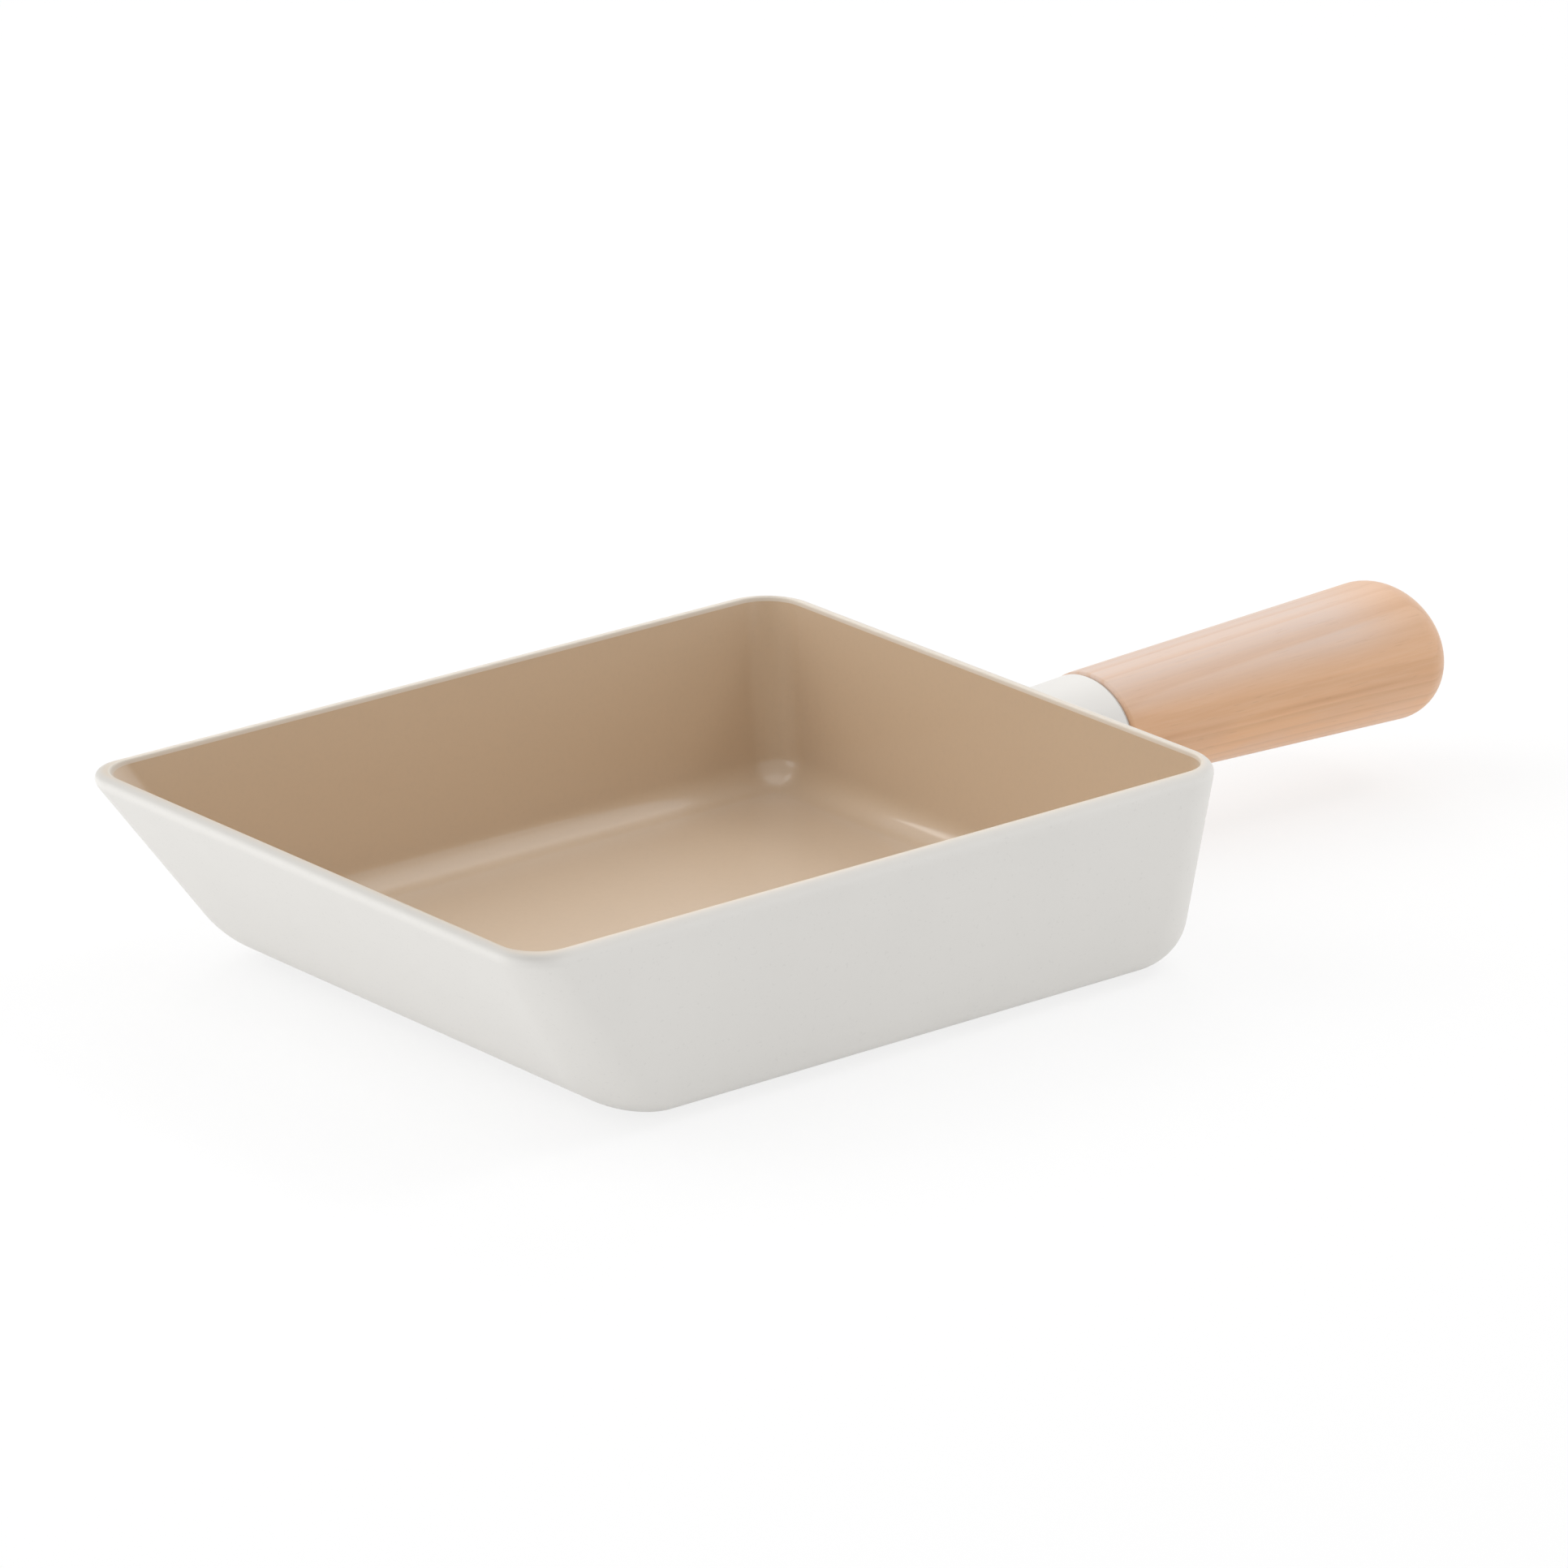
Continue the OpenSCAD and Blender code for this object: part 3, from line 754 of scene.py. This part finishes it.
# The grain of the wood; its rings run round a pith that lies beside the handle and below it
PITH_SHIFT = (0, -52 * MM, 18 * MM)
GRAIN_TURN = (0, 0, math.radians(1.6))
RING_WIDTH = 2.6 * MM
RING_SWAY = 2.4 * MM
TONE_SWAY = 6 * MM
# The noise of the painted glow patches is moved along the handle by this
PAINTED_GLOW_SHIFT = (40 * MM, 0, 0)
VEIN_CLIMB = 0.018
VEIN_SWAY = 3 * MM
VEIN_HEIGHT = 0.8 * MM
VEIN_HALF = 1.1 * MM
VEIN_NEAR_SIDE = (-9 * MM, -3 * MM)

# Where the wood's tones and painted light change: heights over the handle's axis, where painted bounce
# light below and painted glow give way and a painted sheen on top begins, and for the last places along
# it, where the sheen fades towards the end
PAINTED_BOUNCE_TO_WARM = (-10 * MM, 1 * MM)
PAINTED_GLOW_FADE = (-4 * MM, 5 * MM)
WARM_TO_PAINTED_SHEEN = (3.5 * MM, 13 * MM)
PAINTED_SHEEN_FADE_AT_END = (60 * MM, 84 * MM)

# The lowest tone is painted bounce light from below
PAINTED_BOUNCE_WOOD = (0.78, 0.47, 0.28)
WARM_WOOD = (0.68, 0.395, 0.222)
# The lighter tone on top is a painted sheen
PAINTED_SHEEN_WOOD = (0.628, 0.467, 0.38)
# The glowing tone is painted bounce light from below, laid in patches
PAINTED_GLOW_WOOD = (0.80, 0.44, 0.215)
LATE_WOOD = (0.57, 0.315, 0.165)
STREAK = (0.59, 0.345, 0.19)
FIBRE = (0.76, 0.52, 0.35)
VEIN = (0.53, 0.265, 0.125)
PORE = (0.46, 0.26, 0.15)


def late_wood(make, sway):
    """The darker part of each growth ring, which ends sharply."""
    _, y, z = make.axes(make.place(shift=PITH_SHIFT, turn=GRAIN_TURN))
    away = (y * y + z * z).math("SQRT") + (sway - 0.5) * RING_SWAY
    ring = (away / RING_WIDTH).math("FRACT")
    return ring.between(0.45, 0.93) * (1 - ring.between(0.93, 1.0))


def dark_vein(along, side, level, sway, streak):
    """A broken vein that climbs slowly along the near side."""
    drift = level + along * VEIN_CLIMB + (sway - 0.5) * VEIN_SWAY - VEIN_HEIGHT
    vein = (1 - drift.math("ABSOLUTE").between(0, VEIN_HALF)) * (0.25 + streak.between(0.35, 0.65) * 0.75)
    return vein * (1 - side.between(*VEIN_NEAR_SIDE))


def beech():
    """Oiled beech, warm below its top, with rings cut lengthwise, fibres, pores and one vein; a painted
    sheen makes the top lighter, and painted bounce light, partly in patches, lightens the lowest part.
    """
    make = new_material("beech")
    sway = make.noise(make.place(stretch=(0.22, 1, 1)), per_metre=30)
    broad = make.noise(make.place(stretch=(0.1, 1, 1)), per_metre=55)
    # The glow noise places patches of painted bounce light on the lower side
    glow = make.noise(make.place(PAINTED_GLOW_SHIFT, stretch=(0.3, 1, 1)), per_metre=110, detail=1)
    fibre = make.noise(make.place(stretch=(0.016, 1, 1)), per_metre=1500, detail=3, roughness=0.6)
    streak = make.noise(make.place(stretch=(0.03, 1, 1)), per_metre=420)
    pore = make.noise(make.place(stretch=(0.055, 1, 1)), per_metre=2600, detail=1).between(0.66, 0.76)
    along, side, level = make.axes(make.place(shift=(-SEAM_X, 0, -AXIS_Z)))
    height = level + (broad - 0.5) * TONE_SWAY
    # A painted sheen lightens the top, and fades towards the far end
    painted_sheen = height.between(*WARM_TO_PAINTED_SHEEN) * (1 - along.between(*PAINTED_SHEEN_FADE_AT_END) * 0.85)
    # The glow patches are painted bounce light, kept below the handle's axis
    glow = glow.between(0.45, 0.65) * (1 - height.between(*PAINTED_GLOW_FADE))
    # At the bottom, the lowest tone is painted bounce light, giving way to the warm tone above
    wood = make.blend(height.between(*PAINTED_BOUNCE_TO_WARM), PAINTED_BOUNCE_WOOD, WARM_WOOD)
    wood = make.coats(wood,
                      (painted_sheen, 1, PAINTED_SHEEN_WOOD),
                      (glow, 0.5, PAINTED_GLOW_WOOD),
                      (late_wood(make, sway), 0.36, LATE_WOOD),
                      (streak.between(0.5, 0.8), 0.22, STREAK),
                      (fibre.between(0.35, 0.7), 0.2, FIBRE),
                      (dark_vein(along, side, level, sway, streak), 0.45, VEIN),
                      (pore, 0.25, PORE))
    relief = make.bump(fibre * 0.6 - pore * 0.6, distance=0.03 * MM, strength=0.5)
    return make.gloss(Base_Color=wood, Roughness=0.42 + (fibre - 0.5) * 0.12, IOR=1.5, Sheen_Weight=0.12,
                      Normal=relief)


DARK_SILICONE, PALE_SILICONE = (0.50, 0.46, 0.43), (0.58, 0.54, 0.50)
DARK_SHEET, PALE_SHEET = (0.60, 0.605, 0.61), (0.70, 0.70, 0.70)
SHEET_STAIN = (0.56, 0.54, 0.50)
SCRATCH_TURN = (0, 0, math.radians(24))
DARK_STEEL, PALE_STEEL = (0.58, 0.58, 0.585), (0.66, 0.66, 0.66)
BLUE_ZINC, YELLOW_ZINC = (0.50, 0.51, 0.53), (0.60, 0.585, 0.55)


def grey_silicone():
    make = new_material("grey_silicone")
    fine = make.noise(make.place(), per_metre=900)
    shade = make.blend(fine, DARK_SILICONE, PALE_SILICONE)
    relief = make.bump(fine, distance=0.02 * MM, strength=0.4)
    return make.gloss(Base_Color=shade, Roughness=0.62 + fine * 0.1, Normal=relief)


def brushed_plate():
    """Stainless sheet, brushed along the pan, with a few fine scratches."""
    make = new_material("brushed_plate")
    brush = make.noise(make.place(stretch=(0.02, 1, 1)), per_metre=2400, detail=3, roughness=0.6)
    cross = make.noise(make.place(stretch=(1, 0.03, 1), turn=SCRATCH_TURN), per_metre=700, detail=1)
    scratch = cross.between(0.74, 0.8)
    stain = make.noise(make.place(), per_metre=45, detail=3)
    steel = make.blend(brush, DARK_SHEET, PALE_SHEET)
    steel = make.coats(steel, (stain.between(0.5, 0.8), 0.2, SHEET_STAIN))
    relief = make.bump(brush - scratch * 0.8, distance=0.01 * MM, strength=0.4)
    rough = 0.27 + brush * 0.12 + stain * 0.08
    return make.gloss(Base_Color=steel, Metallic=1.0, Roughness=rough, Normal=relief)


def turned_steel():
    make = new_material("turned_steel")
    lathe = make.noise(make.place(stretch=(1, 0.05, 0.05)), per_metre=3000)
    smear = make.noise(make.place(), per_metre=160)
    steel = make.blend(smear, DARK_STEEL, PALE_STEEL)
    relief = make.bump(lathe, distance=0.006 * MM, strength=0.4)
    return make.gloss(Base_Color=steel, Metallic=1.0, Roughness=0.24 + smear * 0.12, Normal=relief)


def zinc_plate():
    make = new_material("zinc_plate")
    grain = make.noise(make.place(), per_metre=1400, detail=3)
    tint = make.noise(make.place(), per_metre=120)
    steel = make.blend(tint, BLUE_ZINC, YELLOW_ZINC)
    relief = make.bump(grain, distance=0.01 * MM, strength=0.4)
    return make.gloss(Base_Color=steel, Metallic=1.0, Roughness=0.36 + grain * 0.14, Normal=relief)


def dress(node, finish, soft=0.0):
    """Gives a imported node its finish, and softens its sharp edges by soft."""
    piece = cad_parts[node]
    piece.data.materials.clear()
    piece.data.materials.append(finish)
    weld = piece.modifiers.new("weld", "WELD")
    weld.merge_threshold = SAME_PLACE_IN_CAD
    if soft:
        soften = piece.modifiers.new("soften", "BEVEL")
        soften.width, soften.segments = soft, SOFT_STEPS
        soften.limit_method, soften.angle_limit = "ANGLE", SHARP_ON_WASHERS


# The studio floor: its paper as the pan and as the eye meet it, its own light, and its shadow
PAPER = (0.88, 0.88, 0.88)
BRIGHT_PAPER = (0.95, 0.95, 0.95)
PURE_WHITE = (1, 1, 1)
TABLE_GLOW = 0.22
SHADOW_SHARE = 0.24
SHADOW_FADE = (0.35, 1.2)
FLOOR_GAP = 0.05 * MM
FLOOR_HALF = 4

# The even light of the world on the pan, as a share of white
AMBIENT = 0.45


def studio_floor():
    """White paper with a little light of its own; the eye sees it white with a soft shadow that fades."""
    make = new_material("studio_floor")
    paper = make.node("BsdfDiffuse", Color=PAPER)
    bright = make.node("BsdfDiffuse", Color=BRIGHT_PAPER)
    glow = make.node("Emission", Color=PURE_WHITE, Strength=1.0)
    away = make.node("VectorMath", {"operation": "LENGTH"}, output="Value", Vector=make.place())
    seen = make.layers((1 - away.between(*SHADOW_FADE)) * SHADOW_SHARE, glow, bright)
    unseen = make.layers(TABLE_GLOW, paper, glow)
    above = make.layers(make.seen_rays(), unseen, seen)
    below = make.node("NewGeometry", output="Backfacing")
    make.out(make.layers(below, above, make.node("BsdfTransparent")))
    bm = bmesh.new()
    place = Matrix.Translation(-UP * FLOOR_GAP)
    bmesh.ops.create_grid(bm, x_segments=1, y_segments=1, size=FLOOR_HALF, matrix=place)
    mesh = bpy.data.meshes.new("floor")
    bm.to_mesh(mesh)
    bm.free()
    mesh.materials.append(make.owner)
    floor = bpy.data.objects.new("floor", mesh)
    bpy.context.scene.collection.objects.link(floor)


def studio_world():
    """White to the eye, and a lower, even light on the pan."""
    world = bpy.data.worlds.new("studio")
    bpy.context.scene.world = world
    make = Shader(world)
    strength = make.seen_rays() * (1 - AMBIENT) + AMBIENT
    make.out(make.node("Background", Color=PURE_WHITE, Strength=strength), "OutputWorld")


def direction(azimuth, elevation):
    """Towards an azimuth, counted from -Y round by +X, and an elevation, both in degrees."""
    turn, rise = math.radians(azimuth), math.radians(elevation)
    return Vector((math.sin(turn) * math.cos(rise), -math.cos(turn) * math.cos(rise), math.sin(rise)))


# Softboxes: name, azimuth and elevation in degrees, side in metres and power in watts
SOFTBOXES = (
    ("top_box", 0, 86, 1.2, 3.6),
    ("back_left_high_box", -135, 50, 1.0, 5.7),
    ("back_left_box", -135, 22, 1.0, 4.6),
    ("left_low_box", -90, 12, 0.8, 3.1),
    ("front_low_box", 0, 6, 0.4, 1.65),
    ("right_low_box", 50, 15, 0.5, 1.25),
    ("right_key_box", 69, 50, 1.2, 3.1),
    ("right_core_box", 69, 50, 0.35, 2.3),
    ("back_right_box", 140, 38, 0.8, 3.1),
)
STUDIO_MIDDLE = Vector((0.03, 0, 0.02))
BOX_DISTANCE = 1.5


def softboxes():
    for name, azimuth, elevation, side, power in SOFTBOXES:
        light = bpy.data.lights.new(name, "AREA")
        light.shape, light.size, light.energy = "SQUARE", side, power
        lamp = bpy.data.objects.new(name, light)
        bpy.context.scene.collection.objects.link(lamp)
        out = direction(azimuth, elevation)
        lamp.location = STUDIO_MIDDLE + out * BOX_DISTANCE
        lamp.rotation_euler = out.to_track_quat("Z", "Y").to_euler()
        lamp.visible_camera = False


# The photograph's camera: its direction and distance from the point at the frame's middle, and its lens
VIEW_AZIMUTH, VIEW_ELEVATION, VIEW_DISTANCE = -39.5273, 19.469, 2.32359
VIEW_MIDDLE = Vector((0.0943725, 0.073852, 0))
VIEW_LENS, VIEW_SENSOR = 246.48, 36


def camera():
    data = bpy.data.cameras.new("camera")
    data.lens, data.sensor_width = VIEW_LENS, VIEW_SENSOR
    eye = bpy.data.objects.new("camera", data)
    bpy.context.scene.collection.objects.link(eye)
    back = direction(VIEW_AZIMUTH, VIEW_ELEVATION)
    eye.location = VIEW_MIDDLE + back * VIEW_DISTANCE
    eye.rotation_euler = back.to_track_quat("Z", "Y").to_euler()
    bpy.context.scene.camera = eye


camera()
studio_world()
studio_floor()
softboxes()

pan_body(white_coat())
lining(beige_lining())
wood_grip(beech())
seam_ring(grey_silicone())
steel = turned_steel()
zinc = zinc_plate()
cap_bolt(steel)
dress("induction_plate", brushed_plate())
dress("threaded_insert", zinc)
dress("spring_washer", zinc, WASHER_SOFT)
dress("flat_washer", steel, WASHER_SOFT)

bpy.context.scene.view_settings.view_transform = "Standard"
